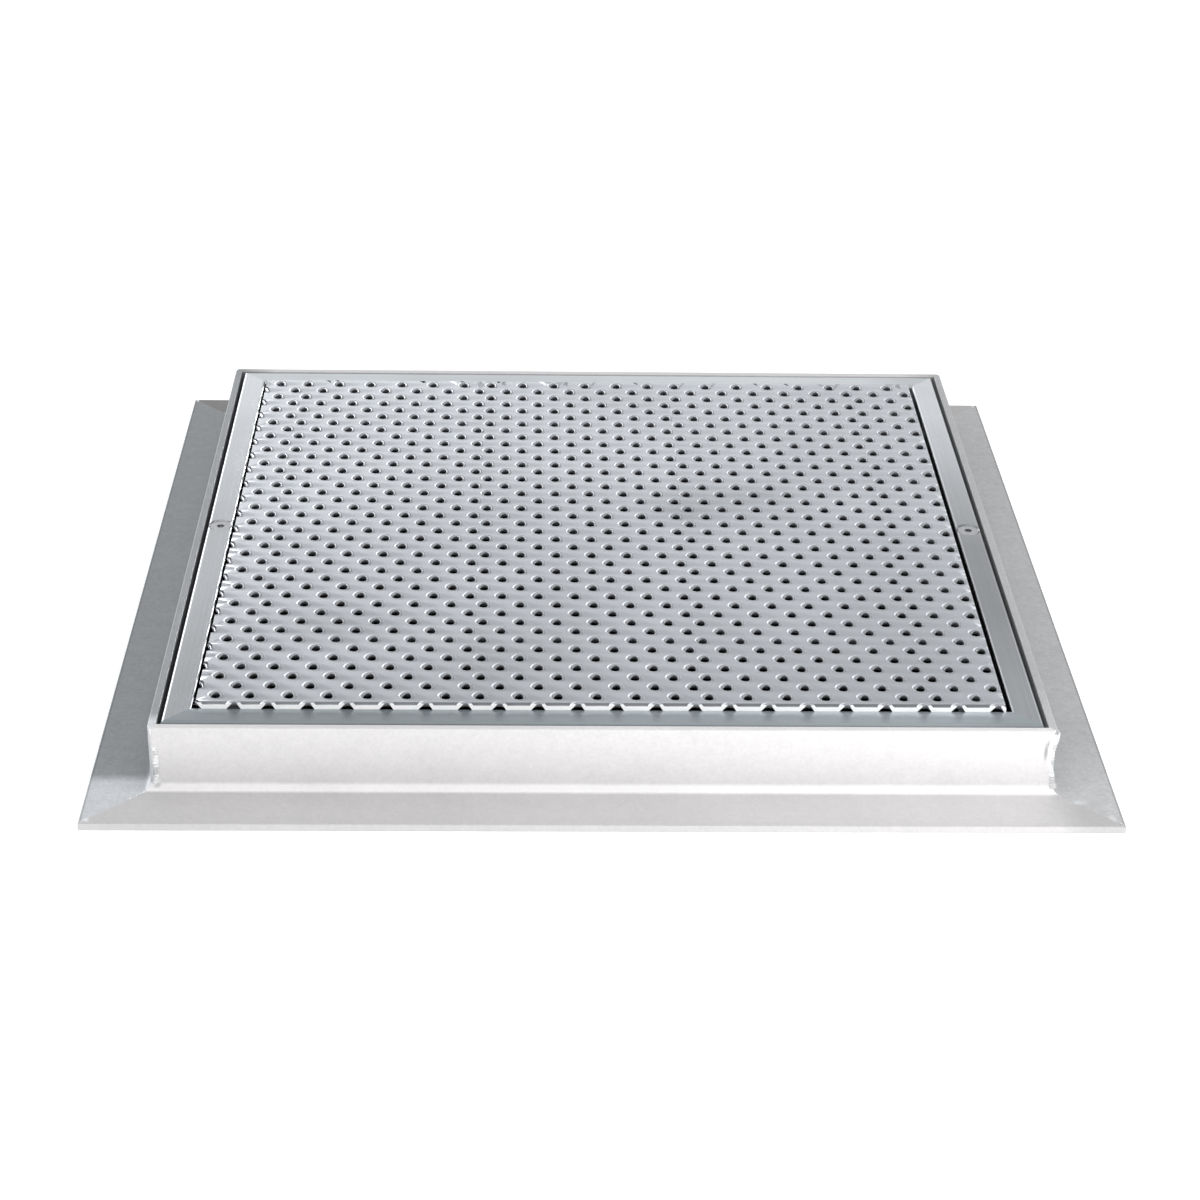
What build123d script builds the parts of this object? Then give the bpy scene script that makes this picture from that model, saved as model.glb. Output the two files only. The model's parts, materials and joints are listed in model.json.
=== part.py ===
from build123d import *
import math
import os

# A square floor grate: a welded angle curb with an outward flange, and in it a cover frame of
# mitred square tube that carries an anti-slip sheet with raised, pierced collars.
# Origin: middle of the flange's underside. +Z is up, -Y is the front.

# Curb, welded from four mitred angles
curb_width = 570.0            # outside of the upright walls, along X
curb_depth = 570.0            # the same along Y
curb_height = 50.0            # flange underside to the top of the walls
curb_thickness = 5.0
flange_width = 40.0           # how far the flange stands out beyond the wall
root_radius = 5.0             # where the wall rises from the flange
curb_edge_radius = 0.8        # the angle's rounded free edges
weld_leg = 3.0                # groove at each upright corner, filled by the bead

# Ledge inside the curb that the cover frame rests on
seat_width = 20.0
seat_thickness = 4.0

# Cover frame of square tube
cover_gap = 2.5               # between the tube and the curb's wall
tube_width = 18.0
tube_height = 18.0
tube_wall = 2.0
tube_radius = 2.2             # outside corners of the tube

# Perforated sheet
sheet_gap = 3.0               # mean gap between the sheet and the side tubes
sheet_shift = 1.0             # the sheet lies this much to the left
sheet_lap = 1.8               # the front edge lies this far over the front tube
sheet_back_gap = 4.0          # between the sheet and the back tube
sheet_thickness = 3.0
stagger = 12.4                # half the hole pitch: from one row or column to the next
tool_columns = 12             # columns that one stroke of the punch makes
tool_step = 9.2               # from the last column of a stroke to the first of the next
cut_columns = 9               # columns of the first stroke that the left edge cuts away
left_cut = 0.6                # how far the half-cut column's centres lie outside the left edge
front_cut = 0.3               # the same for the front row
hole_radius = 3.25            # at the collar's crest
collar_radius = 5.35          # at the collar's foot
collar_rise = 2.0
under_radius = 4.6            # where the hole flares out under the sheet

# Bars under the sheet
bar_width = 20.0
bar_height = 15.0
bar_wall = 2.0
rail_inset = 24.0             # from the tube's inner face to the middle of a side rail
cross_inset = 90.0            # from the tube's inner face to the middle of a cross bar

# Fixing screws and the lugs that they go into
screw_head_radius = 8.0
screw_radius = 4.0
screw_length = 35.0
head_rim = 0.5                # straight rim round the head's top
head_sunk = 0.8               # the head's top under the tube's top
tip_chamfer = 0.8
socket_flats = 5.0
socket_depth = 3.0
screw_clearance = 0.25        # round the shank, in the tube and the seat
head_clearance = 0.1          # under the countersunk head
thread_clearance = 0.05       # round the shank, in the lug
lug_length = 26.0
lug_height = 10.0

# Sizes that follow
flange_outer_x = curb_width + 2 * flange_width
flange_outer_y = curb_depth + 2 * flange_width
inner_x = curb_width - 2 * curb_thickness
inner_y = curb_depth - 2 * curb_thickness
cover_x = inner_x - 2 * cover_gap
cover_y = inner_y - 2 * cover_gap
opening_x = cover_x - 2 * tube_width
opening_y = cover_y - 2 * tube_width
sheet_x = opening_x - 2 * sheet_gap
sheet_y = opening_y + sheet_lap - sheet_back_gap
seat_top = curb_height - tube_height
seat_bottom = seat_top - seat_thickness
sheet_top = curb_height + sheet_thickness
bar_top = curb_height
head_top = curb_height - head_sunk
head_height = screw_head_radius - screw_radius
screw_x = cover_x / 2 - tube_width / 2
tall = 4 * curb_height        # long enough to cut through everything

parts = {}


def mitred_side(section, length, half_depth, reach):
    """A front side: the section, drawn as (distance in from the outer edge, height), runs along X
    and its ends are cut at 45 degrees."""
    bar = extrude(Plane.YZ * section, length / 2, both=True)
    bar = bar.moved(Location((0, -half_depth, 0)))
    ends = Polyline(
        (-length / 2, -half_depth),
        (length / 2, -half_depth),
        (length / 2 - reach, reach - half_depth),
        (reach - length / 2, reach - half_depth),
        close=True,
    )
    trim = extrude(make_face(ends), tall, both=True)
    return (bar & trim).solid()


def four_sides(name, section, size_x, size_y, reach):
    """The four mitred sides of a rectangular frame, as nodes name_front and so on."""
    along_x = mitred_side(section, size_x, size_y / 2, reach)
    along_y = mitred_side(section, size_y, size_x / 2, reach)
    parts[name + "_front"] = along_x
    parts[name + "_right"] = along_y.rotate(Axis.Z, 90)
    parts[name + "_back"] = along_x.rotate(Axis.Z, 180)
    parts[name + "_left"] = along_y.rotate(Axis.Z, 270)


def rounded_at(section, points, radius):
    """The section with its corners at these points rounded."""
    corners = section.vertices()
    chosen = [min(corners, key=lambda v: abs(v.X - x) + abs(v.Y - y)) for x, y in points]
    return fillet(chosen, radius)


def corner_signs():
    return [(sx, sy) for sy in (-1, 1) for sx in (-1, 1)]


def corner_name(sx, sy):
    return ("front" if sy < 0 else "back") + "_" + ("left" if sx < 0 else "right")


def curb():
    """Angles with the flange outwards, and a weld bead in a groove at each upright corner."""
    wall_out = flange_width
    wall_in = flange_width + curb_thickness
    outline = Polyline(
        (0, 0), (wall_in, 0), (wall_in, curb_height), (wall_out, curb_height),
        (wall_out, curb_thickness), (0, curb_thickness), close=True,
    )
    section = make_face(outline)
    section = rounded_at(section, [(wall_out, curb_thickness)], root_radius)
    free_corners = [(wall_in, curb_height), (wall_out, curb_height), (0, curb_thickness)]
    section = rounded_at(section, free_corners, curb_edge_radius)
    four_sides("curb", section, flange_outer_x, flange_outer_y, wall_in)

    groove_bottom = curb_thickness + root_radius
    bead_height = curb_height - groove_bottom
    for sx, sy in corner_signs():
        corner_x = sx * curb_width / 2
        corner_y = sy * curb_depth / 2
        on_x = (corner_x - sx * weld_leg, corner_y)
        on_y = (corner_x, corner_y - sy * weld_leg)
        groove = make_face(Polyline(on_x, on_y, (corner_x, corner_y), close=True))
        groove = extrude(groove, bead_height).moved(Location((0, 0, groove_bottom)))
        grow = 2 * curb_edge_radius
        cutter = make_face(
            Polyline(on_x, on_y, (corner_x + sx * grow, corner_y - sy * weld_leg),
                     (corner_x + sx * grow, corner_y + sy * grow),
                     (corner_x - sx * weld_leg, corner_y + sy * grow), close=True))
        cutter = extrude(cutter, bead_height + grow).moved(Location((0, 0, groove_bottom)))
        ends = ["curb_front" if sy < 0 else "curb_back", "curb_left" if sx < 0 else "curb_right"]
        for end in ends:
            parts[end] = (parts[end] - cutter).solid()
        centre = (corner_x - sx * weld_leg, corner_y - sy * weld_leg)
        rounded = extrude(Location(centre) * Circle(weld_leg), bead_height - curb_edge_radius)
        rounded = rounded.moved(Location((0, 0, groove_bottom)))
        parts["weld_" + corner_name(sx, sy)] = (groove & rounded).solid()


def seat():
    """Flat bars welded inside the walls, with a hole for each screw."""
    section = make_face(Polyline(
        (0, seat_bottom), (seat_width, seat_bottom), (seat_width, seat_top), (0, seat_top),
        close=True))
    four_sides("seat", section, inner_x, inner_y, seat_width)


def cover_frame():
    """Square tube, mitred, with a countersunk hole in the middle of each side tube."""
    middle = (tube_width / 2, curb_height - tube_height / 2)
    outside = RectangleRounded(tube_width, tube_height, tube_radius)
    inside = RectangleRounded(
        tube_width - 2 * tube_wall, tube_height - 2 * tube_wall,
        max(tube_radius - tube_wall, 0.2 * tube_radius))
    section = Location(middle) * (outside - inside)
    four_sides("cover", section, cover_x, cover_y, tube_width)


def collar_faces():
    """The raised flank of one collar and the flared wall of its hole."""
    foot = (collar_radius, 0, 0)
    crest = (hole_radius, 0, collar_rise)
    under = (under_radius, 0, -sheet_thickness)
    return [Face.revolve(Edge.make_line(foot, crest), 360, Axis.Z),
            Face.revolve(Edge.make_line(crest, under), 360, Axis.Z)]


def collar_centres():
    """Centres of the collars, measured from the sheet's left front corner."""
    centres = []
    stroke = (tool_columns - 1) * stagger + tool_step
    first = -left_cut - cut_columns * stagger
    rows = math.floor((sheet_y + front_cut) / stagger) + 1
    strokes = math.ceil((sheet_x - first) / stroke) + 1
    for row in range(rows):
        y = row * stagger - front_cut
        for number in range(strokes):
            for column in range(tool_columns):
                x = first + number * stroke + column * stagger
                staggered = (row + column) % 2 == 1
                touches = -collar_radius < x < sheet_x + collar_radius
                if staggered and touches:
                    centres.append((x, y))
    return centres


def rectangle_wire(low_x, low_y, high_x, high_y, z):
    return Wire.make_polygon(
        [(low_x, low_y, z), (high_x, low_y, z), (high_x, high_y, z), (low_x, high_y, z)])


def perforated_sheet():
    """One punched sheet. It is put together face by face, larger than it is, and then cut to size,
    so that the left and front edges run through a column and a row of collars."""
    spots = [Location((x, y, 0)) for x, y in collar_centres()]
    margin = 3 * collar_radius
    low, high_x, high_y = -margin, sheet_x + margin, sheet_y + margin
    foot = Wire(Edge.make_circle(collar_radius))
    under = Wire(Edge.make_circle(under_radius, Plane.XY.offset(-sheet_thickness)))
    top = rectangle_wire(low, low, high_x, high_y, 0)
    bottom = rectangle_wire(low, low, high_x, high_y, -sheet_thickness)
    faces = [Face(top, [foot.moved(spot) for spot in spots]),
             Face(bottom, [under.moved(spot) for spot in spots])]
    for upper, lower in zip(top.edges(), bottom.edges()):
        a, b = upper @ 0, upper @ 1
        c, d = lower @ 1, lower @ 0
        faces.append(Face(Wire.make_polygon([a, b, c, d])))
    collar = collar_faces()
    faces += [face.moved(spot) for spot in spots for face in collar]
    blank = Solid(Shell(faces))
    size = Box(sheet_x, sheet_y, tall, align=(Align.MIN, Align.MIN, Align.CENTER))
    corner = (-sheet_x / 2 - sheet_shift, -opening_y / 2 - sheet_lap, sheet_top)
    parts["perforated_sheet"] = (blank & size).solid().moved(Location(corner))


def bars():
    """Two side rails between the front and back tubes, and two cross bars between the rails."""
    section = Rectangle(bar_width, bar_height) - Rectangle(
        bar_width - 2 * bar_wall, bar_height - 2 * bar_wall)
    middle_z = bar_top - bar_height / 2
    rail_x = opening_x / 2 - rail_inset
    rail = extrude(Plane.XZ * section, opening_y / 2, both=True)
    parts["rail_left"] = rail.moved(Location((-rail_x, 0, middle_z))).solid()
    parts["rail_right"] = rail.moved(Location((rail_x, 0, middle_z))).solid()
    cross_y = opening_y / 2 - cross_inset
    cross = extrude(Plane.YZ * section, rail_x - bar_width / 2, both=True)
    parts["cross_bar_front"] = cross.moved(Location((0, -cross_y, middle_z))).solid()
    parts["cross_bar_back"] = cross.moved(Location((0, cross_y, middle_z))).solid()


def fixings():
    """A countersunk socket screw at each side, and the tapped lug under the seat for it."""
    tip = head_top - screw_length
    rim_radius = screw_head_radius - head_rim
    profile = Polyline(
        (0, tip), (screw_radius - tip_chamfer, tip), (screw_radius, tip + tip_chamfer),
        (screw_radius, head_top - head_height), (rim_radius, head_top - head_rim),
        (rim_radius, head_top), (0, head_top), close=True)
    screw = revolve(Plane.XZ * make_face(profile), Axis.Z)
    socket = extrude(RegularPolygon(socket_flats / 2, 6, major_radius=False), socket_depth)
    screw -= socket.moved(Location((0, 0, head_top - socket_depth)))

    wide = screw_head_radius + head_sunk + head_clearance
    sink = make_face(Polyline(
        (0, curb_height - wide), (wide, curb_height), (wide, tall), (0, tall), close=True))
    sink = revolve(Plane.XZ * sink, Axis.Z)
    lug = Box(seat_width, lug_length, lug_height, align=(Align.CENTER, Align.CENTER, Align.MAX))
    lug_x = inner_x / 2 - seat_width / 2
    for name, side in (("left", -1), ("right", 1)):
        spot = Location((side * screw_x, 0, 0))
        parts["screw_" + name] = screw.moved(spot).solid()
        tapped = spot * Cylinder(screw_radius + thread_clearance, tall)
        clear = spot * Cylinder(screw_radius + screw_clearance, tall)
        body = lug.moved(Location((side * lug_x, 0, seat_bottom)))
        parts["lug_" + name] = (body - tapped).solid()
        parts["seat_" + name] = (parts["seat_" + name] - clear).solid()
        parts["cover_" + name] = (parts["cover_" + name] - clear - sink.moved(spot)).solid()


curb()
seat()
cover_frame()
perforated_sheet()
bars()
fixings()

os.makedirs("parts", exist_ok=True)
for name, piece in parts.items():
    export_step(piece, "parts/" + name + ".step")
print(len(parts), "nodes")
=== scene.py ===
import json
import math

import bmesh
import bpy
import numpy as np
from mathutils import Matrix, Vector

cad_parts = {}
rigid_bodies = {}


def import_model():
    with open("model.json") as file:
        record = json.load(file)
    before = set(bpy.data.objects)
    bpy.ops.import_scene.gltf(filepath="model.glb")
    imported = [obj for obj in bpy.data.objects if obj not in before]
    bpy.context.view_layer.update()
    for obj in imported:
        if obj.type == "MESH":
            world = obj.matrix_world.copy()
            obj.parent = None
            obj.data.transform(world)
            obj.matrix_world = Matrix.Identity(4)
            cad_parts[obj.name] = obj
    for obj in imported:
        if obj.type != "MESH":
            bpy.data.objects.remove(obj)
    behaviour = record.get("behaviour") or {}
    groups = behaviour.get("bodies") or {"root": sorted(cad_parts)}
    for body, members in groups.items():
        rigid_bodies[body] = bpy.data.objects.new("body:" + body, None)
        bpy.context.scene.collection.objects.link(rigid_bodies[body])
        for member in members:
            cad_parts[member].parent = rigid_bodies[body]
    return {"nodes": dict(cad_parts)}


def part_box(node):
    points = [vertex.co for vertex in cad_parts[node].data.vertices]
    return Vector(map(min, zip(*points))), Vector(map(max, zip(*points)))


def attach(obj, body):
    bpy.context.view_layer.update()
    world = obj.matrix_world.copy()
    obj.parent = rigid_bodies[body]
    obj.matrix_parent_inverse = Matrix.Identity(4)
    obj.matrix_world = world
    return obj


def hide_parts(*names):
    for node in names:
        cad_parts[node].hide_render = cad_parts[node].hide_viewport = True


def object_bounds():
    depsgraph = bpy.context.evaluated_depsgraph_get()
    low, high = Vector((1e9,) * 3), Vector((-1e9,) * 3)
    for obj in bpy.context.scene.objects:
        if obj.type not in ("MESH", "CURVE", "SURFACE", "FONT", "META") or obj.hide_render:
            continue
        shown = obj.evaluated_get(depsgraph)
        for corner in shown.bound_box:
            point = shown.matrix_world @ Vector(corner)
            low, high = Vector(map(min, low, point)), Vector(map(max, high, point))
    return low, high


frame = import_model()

# Floor grate: a welded angle curb and a square-tube cover frame that carries a punched anti-slip sheet
cadLow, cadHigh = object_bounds()
mm = 0.001
print("frame loaded:", len(frame["nodes"]), "nodes")

# Camera
photoView = {
    "imageSize": 1200,                      # pixels, both ways
    "focalPixels": 2698,
    "sensor": 36.0,
    "target": (3.25 * mm, -26.7 * mm, 5 * mm),
    "distance": 1934.6 * mm,
    "pitch": 27.85,                         # degrees, looking down
    "yaw": 1.69,
    "roll": 1.10,
    "clip": (0.05, 50),
}


def placeCamera(v):
    # The camera stands back from the target against its forward direction; right and up are level and
    # upright turned by the roll.
    pitch, yaw, roll = (math.radians(v[key]) for key in ("pitch", "yaw", "roll"))
    forward = Vector((math.sin(yaw) * math.cos(pitch), math.cos(yaw) * math.cos(pitch), -math.sin(pitch)))
    level = Vector((math.cos(yaw), -math.sin(yaw), 0))
    upright = level.cross(forward)
    right = math.cos(roll) * level + math.sin(roll) * upright
    up = math.cos(roll) * upright - math.sin(roll) * level
    data = bpy.data.cameras.new("photoCamera")
    data.sensor_width = v["sensor"]
    data.lens = v["focalPixels"] / v["imageSize"] * v["sensor"]
    data.clip_start, data.clip_end = v["clip"]
    camera = bpy.data.objects.new("photoCamera", data)
    bpy.context.scene.collection.objects.link(camera)
    turn = Matrix((right, up, -forward)).transposed()
    place = Vector(v["target"]) - forward * v["distance"]
    camera.matrix_world = Matrix.Translation(place) @ turn.to_4x4()
    bpy.context.scene.camera = camera


placeCamera(photoView)


# Materials
def nodeAdder(tree):
    # Returns a helper that adds a node: sockets given as inputs are linked, other inputs are set.
    def add(kind, inputs=None, **settings):
        node = tree.nodes.new(kind)
        for key, value in settings.items():
            setattr(node, key, value)
        for key, value in (inputs or {}).items():
            if isinstance(value, bpy.types.NodeSocket):
                tree.links.new(value, node.inputs[key])
            else:
                node.inputs[key].default_value = value
        return node

    return add


def between(add, value, start, end, before, after, smooth=False):
    # The result is before up to start and after from end on, with a straight or S-shaped change.
    return add("ShaderNodeMapRange", {"Value": value, "From Min": start, "From Max": end,
                                      "To Min": before, "To Max": after},
               interpolation_type="SMOOTHSTEP" if smooth else "LINEAR").outputs[0]


def product(add, first, second):
    # One value times the other.
    return add("ShaderNodeMath", {0: first, 1: second}, operation="MULTIPLY").outputs[0]


# A grain is a stack of noises: the length of each in mm along X, Y and Z, and how far it shades the
# colour up and down. The first one also drifts the roughness, and the last one gives the bump.
grains = {
    "blastedFine": [(60, 60, 60, 0.03), (7, 7, 7, 0.02), (2.0, 2.0, 2.0, 0.04)],
    "blasted": [(60, 60, 60, 0.04), (7, 7, 7, 0.05), (2.0, 2.0, 2.0, 0.09)],
    "drawnX": [(300, 5, 5, 0.05), (60, 60, 60, 0.04), (200, 1.5, 1.5, 0.03)],
    "drawnY": [(5, 300, 5, 0.05), (60, 60, 60, 0.04), (1.5, 200, 1.5, 0.03)],
    "rolled": [(110, 110, 110, 0.09), (40, 6, 6, 0.03), (1.6, 1.6, 1.6, 0.04)],
    "sheared": [(12, 12, 12, 0.04), (1.0, 1.0, 1.0, 0.03)],
    "pierced": [(12, 12, 12, 0.05), (1.0, 1.0, 1.0, 0.05)],
    "rippled": [(6, 6, 6, 0.08), (1.2, 1.2, 1.2, 0.05)],
    "turned": [(3, 3, 3, 0.08), (0.6, 0.6, 0.6, 0.05)],
    "mill": [(40, 40, 40, 0.08), (2, 2, 2, 0.08)],
}
grainLooks = {
    "detail": 2.0,
    "shadeSpan": (0.25, 0.75),              # noise values of the darkest and the lightest shade
    "roughSpan": (0.2, 0.8),
    "roughDrift": 0.12,                     # share of the roughness, up and down
    "bumpHeight": 0.2 * mm,
}
# The curb's sides and the cover's tubes are lit and shaded copies of one metal each. Their colours differ
# only as painted light and shade: the left curb darkest as painted shadow of the wall, the front tube
# darker than the back.
metals = {
    "curbFront": {"colour": (0.61, 0.598, 0.598), "metallic": 0.35, "roughness": 0.50, "bump": 0.12,
                  "grain": "blastedFine"},
    # painted shadow: the left side is dark as if the curb wall shades it
    "curbLeft": {"colour": (0.32, 0.33, 0.34), "metallic": 0.35, "roughness": 0.50, "bump": 0.16,
                 "grain": "blasted"},
    "curbRight": {"colour": (0.48, 0.485, 0.49), "metallic": 0.35, "roughness": 0.50, "bump": 0.16,
                  "grain": "blasted"},
    "curbBack": {"colour": (0.71, 0.695, 0.695), "metallic": 0.35, "roughness": 0.50, "bump": 0.12,
                 "grain": "blastedFine"},
    "weld": {"colour": (0.88, 0.88, 0.88), "metallic": 0.8, "roughness": 0.28, "bump": 0.10,
             "grain": "rippled"},
    # painted shade: the front tube is darker than the back one for its duller reflection
    "tubeFront": {"colour": (0.455, 0.495, 0.515), "metallic": 0.9, "roughness": 0.46, "bump": 0.03,
                  "grain": "drawnX"},
    "tubeBack": {"colour": (0.85, 0.88, 0.90), "metallic": 0.9, "roughness": 0.46, "bump": 0.03,
                 "grain": "drawnX"},
    "tubeLeft": {"colour": (0.83, 0.85, 0.87), "metallic": 1.0, "roughness": 0.28, "bump": 0.03,
                 "grain": "drawnY"},
    "tubeRight": {"colour": (0.87, 0.89, 0.91), "metallic": 1.0, "roughness": 0.28, "bump": 0.03,
                  "grain": "drawnY"},
    "sheet": {"colour": (0.585, 0.605, 0.635), "metallic": 0.75, "roughness": 0.24, "bump": 0.05,
              "grain": "rolled"},
    "sheetCut": {"colour": (0.97, 0.97, 0.97), "metallic": 0.0, "roughness": 0.50, "bump": 0.05,
                 "grain": "sheared"},
    "sheetHole": {"colour": (0.50, 0.51, 0.54), "metallic": 0.6, "roughness": 0.55, "bump": 0.05,
                  "grain": "pierced"},
    # painted shade: a dark copy of the hole finish for the roofs that the left edge cuts
    "sheetEdge": {"colour": (0.20, 0.20, 0.22), "metallic": 1.0, "roughness": 0.55, "bump": 0.05,
                  "grain": "pierced"},
    "screw": {"colour": (0.66, 0.66, 0.67), "metallic": 1.0, "roughness": 0.25, "bump": 0.05,
              "grain": "turned"},
    # painted shade: the inside metal is dark for the shade under the cover
    "inner": {"colour": (0.16, 0.165, 0.17), "metallic": 0.7, "roughness": 0.55, "bump": 0.10,
              "grain": "mill"},
}


def makeMetal(name, m, marks=None):
    # The product of the grain's noises shades the colour, and marks, where given, shades it further.
    material = bpy.data.materials.new(name)
    material.use_nodes = True
    tree = material.node_tree
    shader = tree.nodes["Principled BSDF"]
    add = nodeAdder(tree)
    where = add("ShaderNodeTexCoord").outputs["Object"]
    shade, noises = None, []
    for *lengths, depth in grains[m["grain"]]:
        stretch = add("ShaderNodeMapping", {"Vector": where, "Scale": [1 / (g * mm) for g in lengths]})
        noise = add("ShaderNodeTexNoise", {"Vector": stretch.outputs[0], "Scale": 1.0,
                                           "Detail": grainLooks["detail"]}).outputs[0]
        drift = between(add, noise, *grainLooks["shadeSpan"], 1 - depth, 1 + depth)
        noises.append(noise)
        shade = product(add, shade, drift) if shade else drift
    if marks:
        shade = marks(add, where, shade)
    tint = add("ShaderNodeVectorMath", {0: m["colour"], "Scale": shade}, operation="SCALE")
    tree.links.new(tint.outputs[0], shader.inputs["Base Color"])
    drift = grainLooks["roughDrift"]
    rough = between(add, noises[0], *grainLooks["roughSpan"],
                    (1 - drift) * m["roughness"], (1 + drift) * m["roughness"])
    tree.links.new(rough, shader.inputs["Roughness"])
    bump = add("ShaderNodeBump", {"Height": noises[-1], "Strength": m["bump"],
                                  "Distance": grainLooks["bumpHeight"]})
    tree.links.new(bump.outputs[0], shader.inputs["Normal"])
    shader.inputs["Metallic"].default_value = m["metallic"]
    return material


# A spot fades out between these shares of its half length.
spotFade = (0.2, 1.3)


def spotShade(add, where, shade, middle, half, depth):
    # The distance from the middle, in half lengths, sets how far the shade is lowered by the depth.
    centred = add("ShaderNodeMapping", {"Vector": where,
                                        "Location": [-m / h if h else 0 for m, h in zip(middle, half)],
                                        "Scale": [1 / (h * mm) if h else 0 for h in half]})
    far = add("ShaderNodeVectorMath", {0: centred.outputs[0]}, operation="LENGTH").outputs["Value"]
    return product(add, shade, between(add, far, *spotFade, 1 - depth, 1.0, smooth=True))


# Marks of use on the sheet: dull patches, as middle and half lengths in mm and depth. And painted shade:
# the dark line along the front edge, a painted dark reflection of the strip where the shear bent the
# surface down.
sheetWearAndShade = {
    "patches": [(90, 32, 62, 34, 0.10), (60, 18, 22, 16, 0.08), (120, 48, 24, 18, 0.07),
                (-170, -155, 50, 34, 0.13), (-205, -60, 30, 60, 0.05), (190, -90, 60, 150, 0.05)],
    "bentFrom": 0.9,                        # mm behind the front edge
    "bentSharp": 0.2,
    "bentTo": 4.8,
    "bentFade": 0.9,
    "bentPaintedShade": 0.42,
    "flatUnder": 1.9,                       # the collars' tops are about this far above the flat sheet
    "collarFade": 0.4,
}


def sheetMarks(add, where, shade):
    # The painted dark line of the bent edge is two ramps across Y, and the collars, which rise above it,
    # stay clear.
    low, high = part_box("perforated_sheet")
    for x, y, halfX, halfY, depth in sheetWearAndShade["patches"]:
        shade = spotShade(add, where, shade, (x, y, 0), (halfX, halfY, 0), depth)
    parts = add("ShaderNodeSeparateXYZ", {0: where}).outputs
    begin = low.y + sheetWearAndShade["bentFrom"] * mm
    finish = low.y + sheetWearAndShade["bentTo"] * mm
    flat = high.z - sheetWearAndShade["flatUnder"] * mm
    half = sheetWearAndShade["bentSharp"] / 2 * mm
    into = between(add, parts["Y"], begin - half, begin + half, 1.0, 0.0)
    out = between(add, parts["Y"], finish - sheetWearAndShade["bentFade"] * mm, finish, 0.0, 1.0)
    above = between(add, parts["Z"], flat, flat + sheetWearAndShade["collarFade"] * mm, 0.0, 1.0)
    clear = add("ShaderNodeMath", {0: into, 1: out}, operation="MAXIMUM").outputs[0]
    clear = add("ShaderNodeMath", {0: clear, 1: above}, operation="MAXIMUM").outputs[0]
    # the bent edge's painted shade
    return product(add, shade, between(add, clear, 0.0, 1.0, sheetWearAndShade["bentPaintedShade"], 1.0))


# Painted light and shade on the curb and the tubes: lighter where more light falls, darker in shadow and
# in the seams. Axis, direction, where the change begins in mm from the origin, its length, and the shade
# beyond it.
paintedLightSteps = {
    "curbFront": [("Z", 1, 5.0, 0.8, 1.62), ("Z", 1, 8.5, 2.5, 0.78), ("X", 1, -100, 300, 1.09),
                  ("X", 1, 284, 16, 0.84)],
    "curbLeft": [("Y", -1, 267, 10, 1.97), ("X", -1, 323.2, 0.5, 0.66), ("Z", 1, 48.5, 1, 1.12)],
    "curbRight": [("Y", -1, 225, 60, 1.20), ("X", 1, 323.2, 0.5, 0.70)],
    "curbBack": [("X", -1, 252, 36, 0.36), ("X", 1, 252, 36, 0.66)],
    "tubeFront": [("X", 1, -130, 330, 1.45), ("X", 1, 225, 30, 0.85)],
    "tubeBack": [("X", 1, -50, 150, 1.12), ("X", 1, 215, 40, 0.86)],
    "tubeLeft": [("Y", -1, -230, 200, 0.85), ("Y", -1, 0, 230, 0.94), ("X", 1, -261.2, 0.8, 0.22)],
    "tubeRight": [("Y", -1, -200, 230, 0.55), ("Y", -1, 120, 120, 1.36)],
}


# Painted shade and glints at the corner welds: the dark spots are painted shade in the grooves beside the
# beads, the bright ones painted glints of spatter. Middle and half lengths in mm, where 0 means no limit
# along that axis, and depth, which is negative where a spot is bright.
weldShadeAndGlints = {
    "curbFront": [((-281.4, 0, 17), (1.5, 0, 9), 0.75), ((-281.0, 0, 30), (0.9, 0, 4), 0.40),
                  ((278.5, 0, 35), (1.3, 0, 7), 0.50), ((279.6, 0, 41), (0.8, 0, 3), 0.35),
                  ((-320.5, -321.0, 0), (2.2, 3.0, 0), -0.40), ((300, -297, 0), (6, 3, 0), -0.15)],
    "curbLeft": [((-320.5, -321.0, 0), (2.2, 3.0, 0), -0.40)],
    "curbRight": [((300, -297, 0), (6, 3, 0), -0.20), ((318, -316, 0), (3, 5, 0), -0.20)],
}


def paintedLightMarks(steps, spots):
    # The shade is multiplied by each painted spot and then by each painted light step.
    def marks(add, where, shade):
        for middle, half, depth in spots:
            shade = spotShade(add, where, shade, middle, half, depth)
        parts = add("ShaderNodeSeparateXYZ", {0: where}).outputs
        for axis, sign, begin, change, beyond in steps:
            along = product(add, parts[axis], sign / mm)
            shade = product(add, shade, between(add, along, begin, begin + change, 1.0, beyond))
        return shade

    return marks


finishes = {}
for name, m in metals.items():
    marks = paintedLightMarks(paintedLightSteps[name], weldShadeAndGlints.get(name, [])) if name in paintedLightSteps else None
    finishes[name] = makeMetal(name + "Metal", m, sheetMarks if name == "sheet" else marks)

# A finish by the whole name of a node or by its first word; what is left is inside metal, painted dark as
# shade under the cover
nodeFinishes = {"curb_front": "curbFront", "curb_back": "curbBack", "curb_left": "curbLeft",
                "curb_right": "curbRight", "cover_front": "tubeFront", "cover_back": "tubeBack",
                "cover_left": "tubeLeft", "cover_right": "tubeRight", "weld": "weld",
                "perforated": "sheet", "screw": "screw"}


def dress(piece, *names):
    piece.data.materials.clear()
    for name in names:
        piece.data.materials.append(finishes[name])


for node, piece in frame["nodes"].items():
    group = node.split("_")[0]
    dress(piece, nodeFinishes.get(node, nodeFinishes.get(group, "inner")))
print("materials ready:", len(finishes))


def addMesh(name, vertices, faces):
    mesh = bpy.data.meshes.new(name)
    mesh.from_pydata(vertices, [], faces)
    piece = bpy.data.objects.new(name, mesh)
    bpy.context.scene.collection.objects.link(piece)
    return piece


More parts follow.
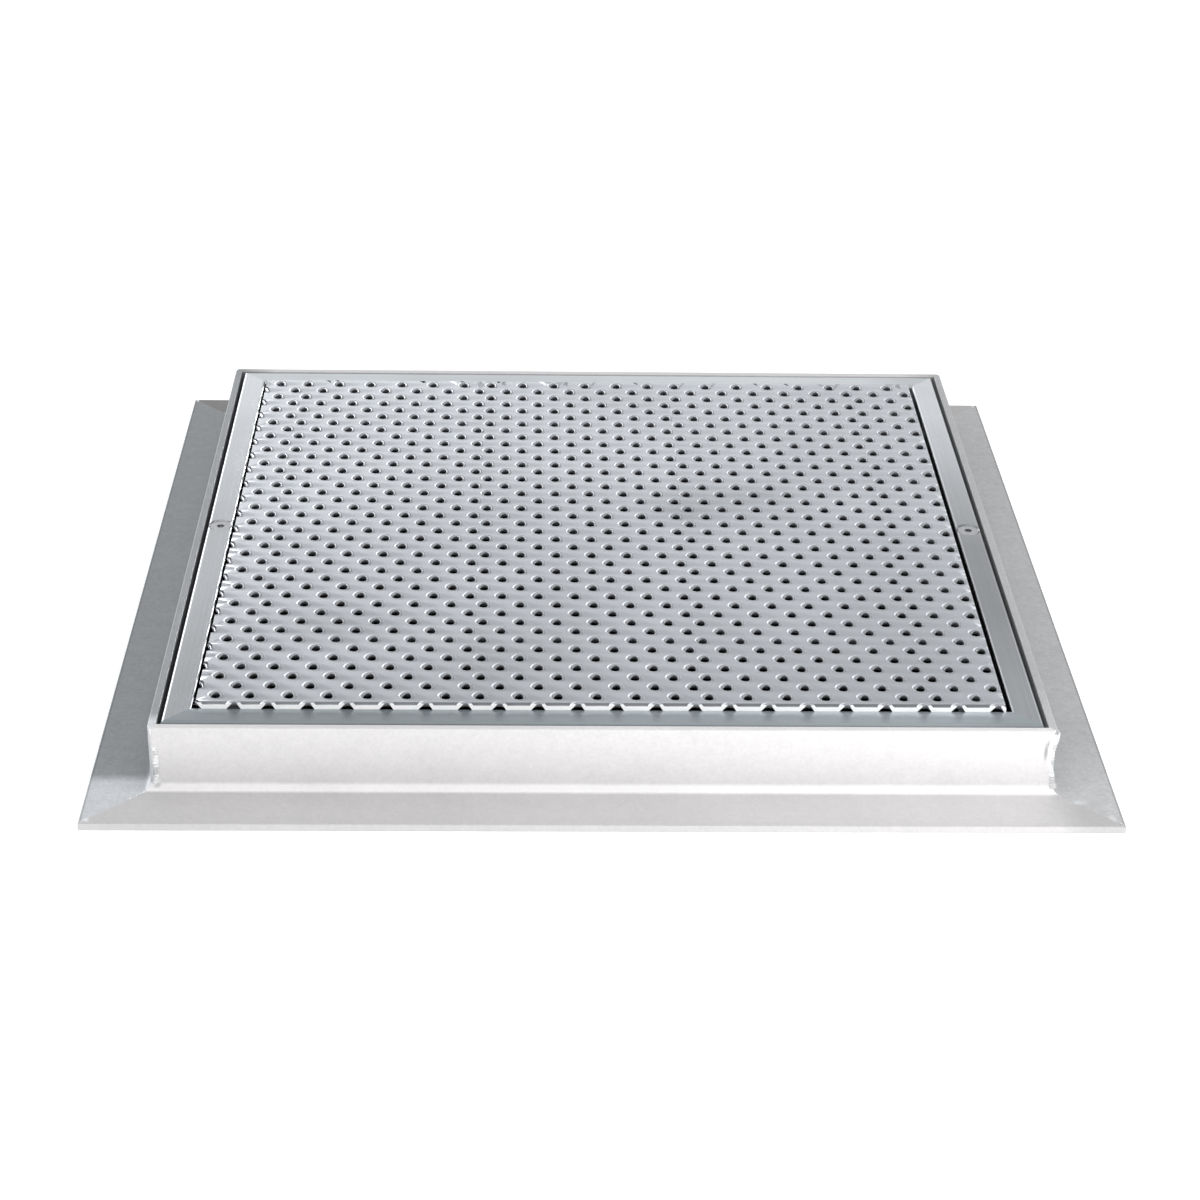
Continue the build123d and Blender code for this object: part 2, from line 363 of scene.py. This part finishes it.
# Punched sheet
punched = {
    "stagger": 12.4 * mm,                   # from one row or column of holes to the next
    "toolColumns": 12,                      # columns that one stroke of the punch makes
    "toolStep": 9.2 * mm,                   # from the last column of a stroke to the first of the next
    "cutColumns": 9,                        # columns that the left edge cuts away
    "leftCut": 0.6 * mm,                    # how far the half-cut column lies outside the left edge
    "frontCut": 0.3 * mm,                   # and the half-cut row outside the front edge
    "collarRise": 2.0 * mm,
    "thickness": 3.0 * mm,
    "sides": 12,                            # of a collar's outline
    # A collar is a hood: a horseshoe ridge, high behind and open to the front, with a roof that slopes
    # down to the hole's rim. The ridge by direction, from the right and round by the back: distance
    # from the middle and height, in mm
    "crest": [(3.75, 1.75), (3.70, 1.95), (3.50, 1.97), (2.95, 1.98), (2.50, 1.98), (2.40, 1.97),
              (2.80, 1.80), (3.80, 1.15), (4.55, 0.40), (4.70, 0.25), (4.60, 0.30), (4.20, 0.90)],
    # The hole's rim in the same order: x, y and height
    "rim": [(3.00, -0.70, 1.00), (2.30, 0.60, 1.55), (1.35, 1.25, 1.80), (0.40, 1.40, 1.88),
            (-0.55, 1.10, 1.74), (-1.60, 0.15, 1.28), (-2.60, -1.10, 0.70), (-3.85, -2.85, 0.10),
            (-2.20, -3.85, 0.02), (0.00, -4.05, 0.00), (1.80, -3.85, 0.02), (3.20, -2.70, 0.15)],
    "foot": 5.50,                           # radius where the flank meets the flat sheet
    "middle": (4.90, 0.40),                 # part of the way up: distance and share of the height
    "throat": (0.88, 0.60),                 # just inside the rim: scale and drop
    "under": 4.60,                          # radius of the hole in the underside
    "roofBand": 3,                          # band of faces between ridge and rim; the hole's wall follows
    "leftShadeReach": 4.5 * mm,                   # roofs this near the left edge are painted dark, as shade
}


def columnPlaces(p, width):
    # Places of all the columns: strokes of even steps, with a narrower step between strokes.
    stroke = (p["toolColumns"] - 1) * p["stagger"] + p["toolStep"]
    strokes = math.ceil(width / stroke) + 2
    within = np.arange(p["toolColumns"]) * p["stagger"]
    starts = np.arange(strokes) * stroke - p["leftCut"] - p["cutColumns"] * p["stagger"]
    return (starts[:, None] + within).ravel()


def collarCells(p, width, depth):
    # Middle, left and right border of the cell round each hole that may touch the sheet. Holes lie
    # where row plus column is odd, and a cell reaches from the column before to the one after.
    columns = columnPlaces(p, width)
    rows = np.arange(math.floor((depth + p["frontCut"]) / p["stagger"]) + 1)
    c, r = np.meshgrid(np.arange(1, len(columns) - 1), rows)
    c, r = c.ravel(), r.ravel()
    x, y = columns[c], r * p["stagger"] - p["frontCut"]
    left, right = columns[c - 1], columns[c + 1]
    near = (r + c) % 2 == 1
    near &= (right > 0) & (left < width)
    return x[near], y[near], left[near], right[near]


def collarRings(p):
    # The rings of one collar round its hole, and the normal at each of their points: the mean of the
    # bands that meet there, and straight up at the foot.
    turn = np.arange(p["sides"]) * 2 * np.pi / p["sides"]
    circle = np.stack([np.cos(turn), np.sin(turn), 0 * turn], 1)
    upright = np.array((0.0, 0.0, 1.0))
    far, high = (np.array(values)[:, None] for values in zip(*p["crest"]))
    rim = np.array(p["rim"])
    middle, share = p["middle"]
    scale, drop = p["throat"]
    ring = np.stack([p["foot"] * circle, middle * circle + share * high * upright,
                     far * circle + high * upright, rim, rim * (scale, scale, 1) - drop * upright,
                     p["under"] * circle - p["thickness"] / mm * upright]) * mm
    around = np.roll(ring, -1, 1) - np.roll(ring, 1, 1)
    inward = np.diff(ring, axis=0)
    band = np.cross(around[:-1] + around[1:], inward)
    band /= np.linalg.norm(band, axis=-1, keepdims=True)
    normal = np.concatenate([band[:1], band[:-1] + band[1:], band[-1:]])
    normal[0] = (0, 0, 1)
    return ring, normal / np.linalg.norm(normal, axis=-1, keepdims=True)


cellCorners = 6                             # of a cell's flat border, on each face of the sheet
sameSpot = 0.001 * mm                       # points this near are one


def punchedBlank(p, width, depth):
    # A cell is a collar, as rings of quads, and a flat border above and below that reaches six shared
    # corners. Returns points, their normals, quads, triangles and the band of each face.
    x, y, left, right = collarCells(p, width, depth)
    shape, shapeNormal = collarRings(p)
    count, (rings, sides, _) = len(x), shape.shape
    ring = shape + np.stack([x, y, 0 * x], 1)[:, None, None]
    half = p["stagger"] / 2
    backRow = y > y.max() - half
    corner = np.empty((count, 2, cellCorners, 3))
    corner[..., 0] = np.stack([right, x, left, left, x, right], 1)[:, None]
    corner[..., 1] = (y[:, None] + half * np.array([1, 1, 1, -1, -1, -1]))[:, None]
    corner[backRow, :, :3, 1] = depth + half
    corner[..., 2] = np.array([0, -p["thickness"]])[:, None]
    points = np.concatenate([ring.reshape(count, -1, 3), corner.reshape(count, -1, 3)], 1)
    upwards = np.tile((0.0, 0.0, 1.0), (2 * cellCorners, 1))
    normals = np.concatenate([shapeNormal.reshape(-1, 3), upwards])
    turn = np.arange(sides) * 2 * np.pi / sides

    k = np.arange(sides)
    after = (k + 1) % sides
    level = np.repeat(np.arange(rings - 1), sides)
    here, there = np.tile(k, rings - 1), np.tile(after, rings - 1)
    quads = np.stack([level * sides + here, level * sides + there,
                      (level + 1) * sides + there, (level + 1) * sides + here], 1)
    owner = (turn + np.pi / sides) / (2 * np.pi) * cellCorners - 0.5
    owner = np.round(owner).astype(int) % cellCorners
    triangles = []
    for side, rim in ((0, 0), (1, rings - 1)):
        base = rings * sides + cellCorners * side
        flat = [(base + owner[i], rim * sides + after[i], rim * sides + i) for i in k]
        changes = [i for i in k if owner[i] != owner[i - 1]]
        flat += [(base + owner[i - 1], base + owner[i], rim * sides + i) for i in changes]
        triangles.append(np.array(flat) if side == 0 else np.array(flat)[:, ::-1])
    triangles = np.concatenate(triangles)

    offset = (np.arange(count) * points.shape[1])[:, None, None]
    points = points.reshape(-1, 3)
    _, first, index = np.unique(np.round(points / sameSpot).astype(int), axis=0,
                                return_index=True, return_inverse=True)
    index = index.ravel()
    allQuads = index[(quads + offset).reshape(-1, 4)]
    allTriangles = index[(triangles + offset).reshape(-1, 3)]
    band = np.concatenate([np.tile(level + 1, count), np.full(len(allTriangles), rings)])
    return points[first], np.tile(normals, (count, 1))[first], allQuads, allTriangles, band


onPlane = 1e-6                              # metres: a point this near a cutting plane lies on it
merged = 1e-7


def cutToSize(mesh, width, depth):
    # Four planes cut the blank to its size, and each cut face is closed.
    bm = bmesh.new()
    bm.from_mesh(mesh)
    planes = [((0, 0, 0), (-1, 0, 0)), ((width, 0, 0), (1, 0, 0)),
              ((0, 0, 0), (0, -1, 0)), ((0, depth, 0), (0, 1, 0))]
    for spot, out in planes:
        everything = bm.verts[:] + bm.edges[:] + bm.faces[:]
        bmesh.ops.bisect_plane(bm, geom=everything, plane_co=spot, plane_no=out,
                               clear_outer=True, dist=merged)
    bmesh.ops.remove_doubles(bm, verts=bm.verts[:], dist=merged)
    for cx in (0, width):
        for cy in (0, depth):
            ends = [v for v in bm.verts if abs(v.co.x - cx) < onPlane and abs(v.co.y - cy) < onPlane]
            ends.sort(key=lambda v: v.co.z)
            for low, high in zip(ends, ends[1:]):
                bm.edges.new((low, high))
    for spot, out in planes:
        axis = 0 if out[0] else 1
        rim = [e for e in bm.edges if len(e.link_faces) < 2
               and all(abs(v.co[axis] - spot[axis]) < onPlane for v in e.verts)]
        bmesh.ops.triangle_fill(bm, edges=rim, use_beauty=False, use_dissolve=False, normal=out)
    bm.to_mesh(mesh)
    bm.free()


def readAll(collection, key, width, kind):
    values = np.empty(len(collection) * width, kind)
    collection.foreach_get(key, values)
    return values.reshape(-1, width) if width > 1 else values


def sheetNormals(mesh, p):
    # A corner on a collar takes the point's own normal, and one on a flat or cut face takes the face's.
    # Band 0 is the cut faces, and the last band is the flat sheet. The cut faces and the holes' walls get
    # materials of their own, and the roofs that the left edge cuts a dark one, painted shade where the low
    # light from the left would light them.
    sizes = readAll(mesh.polygons, "loop_total", 1, int)
    faceOf = np.repeat(np.arange(len(sizes)), sizes)
    band = readAll(mesh.attributes["band"].data, "value", 1, int)
    onCollar = (band > 0) & (band < band.max())
    across = readAll(mesh.polygons, "center", 3, float)[:, 0]
    wall = (band > p["roofBand"]) & onCollar
    shadedRoof = (band == p["roofBand"]) & (across < p["leftShadeReach"])
    mesh.polygons.foreach_set("material_index", ((band == 0) + 2 * wall + 3 * shadedRoof).astype(np.int32))
    normal = readAll(mesh.polygons, "normal", 3, float)[faceOf]
    onCollar = onCollar[faceOf]
    ofPoint = readAll(mesh.attributes["lean"].data, "vector", 3, float)
    normal[onCollar] = ofPoint[readAll(mesh.loops, "vertex_index", 1, int)[onCollar]]
    mesh.polygons.foreach_set("use_smooth", np.ones(len(sizes), bool))
    mesh.normals_split_custom_set(normal / np.linalg.norm(normal, axis=1, keepdims=True))


def makeSheet(p):
    # The blank's cells are cut to the CAD sheet's width and depth and moved to its lower left corner.
    low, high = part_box("perforated_sheet")
    width, depth = high.x - low.x, high.y - low.y
    points, normals, quads, triangles, band = punchedBlank(p, width, depth)
    sheet = addMesh("punchedSheet", points.tolist(), quads.tolist() + triangles.tolist())
    attributes = sheet.data.attributes
    attributes.new("band", "INT", "FACE").data.foreach_set("value", band.astype(np.int32))
    attributes.new("lean", "FLOAT_VECTOR", "POINT").data.foreach_set("vector", normals.ravel())
    cutToSize(sheet.data, width, depth)
    dress(sheet, "sheet", "sheetCut", "sheetHole", "sheetEdge")
    sheetNormals(sheet.data, p)
    sheet.data.transform(Matrix.Translation((low.x, low.y, high.z - p["collarRise"])))
    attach(sheet, "root")
    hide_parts("perforated_sheet")
    print("punched sheet:", len(sheet.data.polygons), "faces")


makeSheet(punched)


# Weld beads
beadWaves = {
    "secondShare": 0.6,                     # a second, quicker sine of the sway
    "secondSpeed": 2.3,
    "swellSpeed": 1.4,                      # of the uneven radius, against the sway's first sine
    "rippleLag": 0.8,                       # mm, from the bead's crown to its side
    "closing": 0.8,                         # length of the rounded ends in radii
}


def beadPiece(name, b, start, end, over):
    # A bead is a closed tube on a grid of rows and sides. Its middle line runs from start to end, is
    # lifted and shifted by the swell table, and sways by two sines. Its radius follows the table,
    # ripples as a sine that lags round the bead, and closes at both ends as a root of the distance.
    w = beadWaves
    phases = np.random.default_rng(b["seed"]).uniform(0, 2 * np.pi, 4)
    start, end, over = np.array(start), np.array(end), np.array(over)
    length = np.linalg.norm(end - start)
    along = (end - start) / length
    side = np.cross(along, over)
    s = np.linspace(0, length, b["rows"])[:, None]
    turn = (np.arange(b["sides"]) * 2 * np.pi / b["sides"])[None]
    shares, radii, lifts, shifts = (np.array(values) for values in zip(*b["swell"]))
    radius, lift, shift = (np.interp(s / length, shares, values) * mm for values in (radii, lifts, shifts))
    wave = 2 * np.pi * s / (b["swayStep"] * mm)
    second = w["secondShare"] * np.sin(w["secondSpeed"] * wave + phases[1])
    sway = b["sway"] * mm * (np.sin(wave + phases[0]) + second) / (1 + w["secondShare"])
    swell = 1 + b["uneven"] * np.sin(w["swellSpeed"] * wave + phases[2])
    lagging = (s / mm + w["rippleLag"] * np.cos(turn)) / b["rippleStep"]
    ripple = b["ripple"] * mm * np.sin(2 * np.pi * lagging + phases[3])
    closing = np.sqrt(np.clip(np.minimum(s, length - s) / (w["closing"] * radius), 0, 1))
    reach = closing * (radius * swell + ripple)
    middle = start + s * along + (shift + sway) * side + lift * over
    points = middle[:, None] + reach[..., None] * (np.cos(turn)[..., None] * over
                                                   + np.sin(turn)[..., None] * side)
    rows, sides = reach.shape
    inner = points[1:-1].reshape(-1, 3)
    row, k = np.meshgrid(np.arange(rows - 3), np.arange(sides), indexing="ij")
    row, k = row.ravel(), k.ravel()
    after = (k + 1) % sides
    quads = np.stack([row * sides + k, row * sides + after,
                      (row + 1) * sides + after, (row + 1) * sides + k], 1)
    first, last = len(inner), len(inner) + 1
    k = np.arange(sides)
    after = (k + 1) % sides
    top = (rows - 3) * sides
    caps = np.concatenate([np.stack([np.full(sides, first), after, k], 1),
                           np.stack([np.full(sides, last), top + k, top + after], 1)])
    points = np.concatenate([inner, middle[:1], middle[-1:]])
    bead = addMesh(name, points.tolist(), quads.tolist() + caps.tolist())
    bead.data.polygons.foreach_set("use_smooth", np.ones(len(bead.data.polygons), bool))
    dress(bead, "weld")
    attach(bead, "root")
    return bead


# Upright beads, one at each corner of the curb, from the flange up. In a swell table a line is: share
# of the height, radius, lift out of the corner and shift round it, in mm.
plainSwell = [(0.0, 3.6, 0.6, 0), (0.15, 2.8, 0.1, 0), (0.9, 2.7, 0, 0), (1.0, 2.5, 0, 0)]
corners = {
    "FrontLeft": {"signs": (-1, -1), "seed": 3, "sway": 0.30, "uneven": 0.12,
                  "swell": [(0.0, 3.0, -0.6, 2.2), (0.15, 2.5, -1.2, 2.4), (0.45, 2.4, -1.2, 2.4),
                            (0.62, 2.2, -1.3, 2.2), (0.72, 2.0, -1.2, 1.0), (1.0, 2.0, -0.9, 0.4)]},
    "FrontRight": {"signs": (1, -1), "seed": 8, "sway": 0.22, "uneven": 0.08,
                   "swell": [(0.0, 4.6, 1.4, 2.4), (0.16, 3.0, 0.4, 1.2), (0.45, 2.2, -1.0, -0.4),
                             (0.75, 2.3, -0.1, 0.6), (0.93, 2.8, 0.7, 1.7), (1.0, 2.4, 0.5, 1.5)]},
    "BackLeft": {"signs": (-1, 1), "seed": 12, "sway": 0.35, "uneven": 0.12, "swell": plainSwell},
    "BackRight": {"signs": (1, 1), "seed": 17, "sway": 0.35, "uneven": 0.12, "swell": plainSwell},
}
uprightBead = {"rows": 96, "sides": 20, "swayStep": 17, "ripple": 0.08, "rippleStep": 2.3}
beadPlace = {
    "inset": 2.2 * mm,                      # an upright bead's middle line inside the sharp corner
    "filletHeight": 5 * mm,                 # from the flange up to the foot of the CAD bead
    "topGap": 0.4 * mm,
    "mitreStart": 3 * mm,                   # from the wall's corner out along the seam
    "mitreEnd": 1.2 * mm,                   # from the flange's corner back
    "mitreSeed": 40,
}
# The flange's mitre seam carries a flat bead that mostly lies under the surface: only the crests of
# its swells show. Lines of the table: share of the seam, radius, lift, shift.
mitreBead = {"rows": 110, "sides": 14, "swayStep": 8, "sway": 0.5, "uneven": 0.10, "ripple": 0.07,
             "rippleStep": 1.9,
             "swell": [(0.0, 1.8, -1.35, 0), (0.15, 1.6, -1.5, 0), (0.3, 1.5, -1.56, 0),
                       (0.5, 1.5, -1.7, 0), (0.88, 1.5, -1.7, 0), (0.96, 1.7, -1.35, 0),
                       (1.0, 1.7, -1.3, 0)]}


def makeBeads():
    # An upright bead stands on the flange, its middle line inside the corner, and a mitre bead runs
    # along the diagonal from the wall's corner to the flange's.
    b = beadPlace
    outer = cadHigh.x
    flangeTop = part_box("weld_front_left")[0].z - b["filletHeight"]
    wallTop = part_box("curb_front")[1].z
    for name, c in corners.items():
        sx, sy = c["signs"]
        node = "weld_" + ("front" if sy < 0 else "back") + "_" + ("left" if sx < 0 else "right")
        low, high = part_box(node)
        edgeX, edgeY = (high.x if sx > 0 else low.x), (high.y if sy > 0 else low.y)
        x, y = edgeX - sx * b["inset"], edgeY - sy * b["inset"]
        diagonal = Vector((sx, sy, 0)).normalized()
        start, end = (x, y, flangeTop), (x, y, wallTop - b["topGap"])
        bead = beadPiece("cornerBead" + name, {**uprightBead, **c}, start, end, diagonal)
        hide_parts(node)
        first = Vector((edgeX, edgeY, flangeTop)) + diagonal * b["mitreStart"]
        last = Vector((sx * outer, sy * outer, flangeTop)) - diagonal * b["mitreEnd"]
        beadPiece("mitreBead" + name, {**mitreBead, "seed": c["seed"] + b["mitreSeed"]},
                  first, last, (0, 0, 1))


makeBeads()
print("weld beads ready")


# Floor and light
studio = {
    "floorColour": (0.93, 0.93, 0.93),
    "floorGlow": 0.30,
    "floorRoughness": 0.9,
    "floorSize": 12.0,
    "pitShadeHalf": 0.279,                       # the floor is painted black inside this half width, as shade of the shaft under the grate
    # Light of the walls by elevation in degrees: away from the camera and behind it
    "farWall": [(0, 1.10), (12, 1.20), (20, 1.15), (25, 0.82), (32, 0.27), (45, 0.26), (60, 0.50),
                (75, 0.60), (90, 0.60)],
    "nearWall": [(0, 0.80), (15, 0.70), (30, 0.50), (45, 0.45), (60, 0.55), (75, 0.60), (90, 0.60)],
    "leftward": (0.90, 0.30),               # how much lighter the left is, low down and higher up
    "leftwardHeight": 30,                   # degrees
    "sideBlend": 0.3,                       # half the width of the change from near to far wall
    "tint": (0.985, 1.0, 1.02),
}


def makeFloor(s):
    # White and faintly glowing outside a square as large as the pit, and painted black inside it, as the
    # shade of the shaft under the grate.
    half = s["floorSize"] / 2
    floor = addMesh("floor", [(-half, -half, 0), (half, -half, 0), (half, half, 0), (-half, half, 0)],
                    [(0, 1, 2, 3)])
    material = bpy.data.materials.new("floorPaint")
    material.use_nodes = True
    tree = material.node_tree
    shader = tree.nodes["Principled BSDF"]
    add = nodeAdder(tree)
    where = add("ShaderNodeTexCoord").outputs["Object"]
    spread = add("ShaderNodeVectorMath", {0: where}, operation="ABSOLUTE").outputs[0]
    parts = add("ShaderNodeSeparateXYZ", {0: spread}).outputs
    far = add("ShaderNodeMath", {0: parts["X"], 1: parts["Y"]}, operation="MAXIMUM").outputs[0]
    outside = add("ShaderNodeMath", {0: far, 1: s["pitShadeHalf"]}, operation="GREATER_THAN").outputs[0]
    paint = add("ShaderNodeVectorMath", {0: s["floorColour"], "Scale": outside},
                operation="SCALE").outputs[0]
    tree.links.new(paint, shader.inputs["Base Color"])
    tree.links.new(paint, shader.inputs["Emission Color"])
    shader.inputs["Emission Strength"].default_value = s["floorGlow"]
    shader.inputs["Roughness"].default_value = s["floorRoughness"]
    floor.data.materials.append(material)


# Softboxes: radiance is what a reflection of the box shows, a matte one lights dull surfaces only, and
# one with "only" lights just that piece.
softboxes = {
    "overhead": {"place": (-0.3, 0.1, 2.6), "aim": (0, 0, 0), "size": (2.2, 2.2),
                 "radiance": 1.5, "matte": True},
    "rightFill": {"place": (1.8, -0.62, 0.9), "aim": (0, -0.1, 0), "size": (1.0, 0.7),
                  "radiance": 9, "matte": True},
    "frontFill": {"place": (1.15, -1.8, 0.55), "aim": (0.15, -0.3, 0), "size": (1.2, 0.7),
                  "radiance": 6.5, "matte": True},
    "leftWall": {"place": (-1.9, 2.2, 0.42), "aim": (0, 0, 0.05), "size": (1.5, 0.85),
                 "radiance": 2.5, "matte": False},
    "leftRake": {"place": (-1.22, 0.22, 0.18), "aim": (0, -0.15, 0.05), "size": (0.5, 0.12),
                 "radiance": 660, "matte": True, "only": "punchedSheet"},
}


def makeLight(name, s):
    # The power of an area light is its radiance times pi times its area.
    data = bpy.data.lights.new(name, "AREA")
    data.shape = "RECTANGLE"
    data.size, data.size_y = s["size"]
    data.energy = s["radiance"] * math.pi * s["size"][0] * s["size"][1]
    light = bpy.data.objects.new(name, data)
    bpy.context.scene.collection.objects.link(light)
    light.location = s["place"]
    light.rotation_euler = (Vector(s["aim"]) - Vector(s["place"])).to_track_quat("-Z", "Y").to_euler()
    light.visible_camera = False
    light.visible_glossy = not s["matte"]
    if "only" in s:
        lit = bpy.data.collections.new(name + "Lit")
        lit.objects.link(bpy.data.objects[s["only"]])
        light.light_linking.receiver_collection = lit


def wallRamp(add, height, stops):
    # The sine of each stop's elevation is its place on the ramp, because height is a sine too.
    ramp = add("ShaderNodeValToRGB", {0: height})
    elements = ramp.color_ramp.elements
    for _ in stops[2:]:
        elements.new(0.5)
    for element, (elevation, shade) in zip(elements, stops):
        element.position = math.sin(math.radians(elevation))
        element.color = (shade, shade, shade, 1)
    return ramp.outputs[0]


def makeWorld(s):
    # The walls' light: a ramp by height for the far and for the near side, mixed by Y, then lighter
    # to the left in proportion to X.
    world = bpy.data.worlds.new("studioWalls")
    bpy.context.scene.world = world
    world.use_nodes = True
    tree = world.node_tree
    add = nodeAdder(tree)
    where = add("ShaderNodeTexCoord").outputs["Generated"]
    parts = add("ShaderNodeSeparateXYZ", {0: where})
    x, y, z = parts.outputs
    isFar = between(add, y, -s["sideBlend"], s["sideBlend"], 0.0, 1.0, smooth=True)
    walls = add("ShaderNodeMixRGB", {0: isFar, 1: wallRamp(add, z, s["nearWall"]),
                                     2: wallRamp(add, z, s["farWall"])}).outputs[0]
    low, high = s["leftward"]
    tilt = between(add, z, 0.0, math.sin(math.radians(s["leftwardHeight"])), -low, -high)
    sideways = add("ShaderNodeMath", {0: x, 1: tilt, 2: 1.0}, operation="MULTIPLY_ADD").outputs[0]
    light = add("ShaderNodeVectorMath", {0: walls, "Scale": sideways}, operation="SCALE").outputs[0]
    tinted = add("ShaderNodeVectorMath", {0: light, 1: s["tint"]}, operation="MULTIPLY").outputs[0]
    tree.links.new(tinted, tree.nodes["Background"].inputs[0])


makeFloor(studio)
for name, s in softboxes.items():
    makeLight(name, s)
makeWorld(studio)
bpy.context.scene.view_settings.view_transform = "Standard"
print("studio ready")
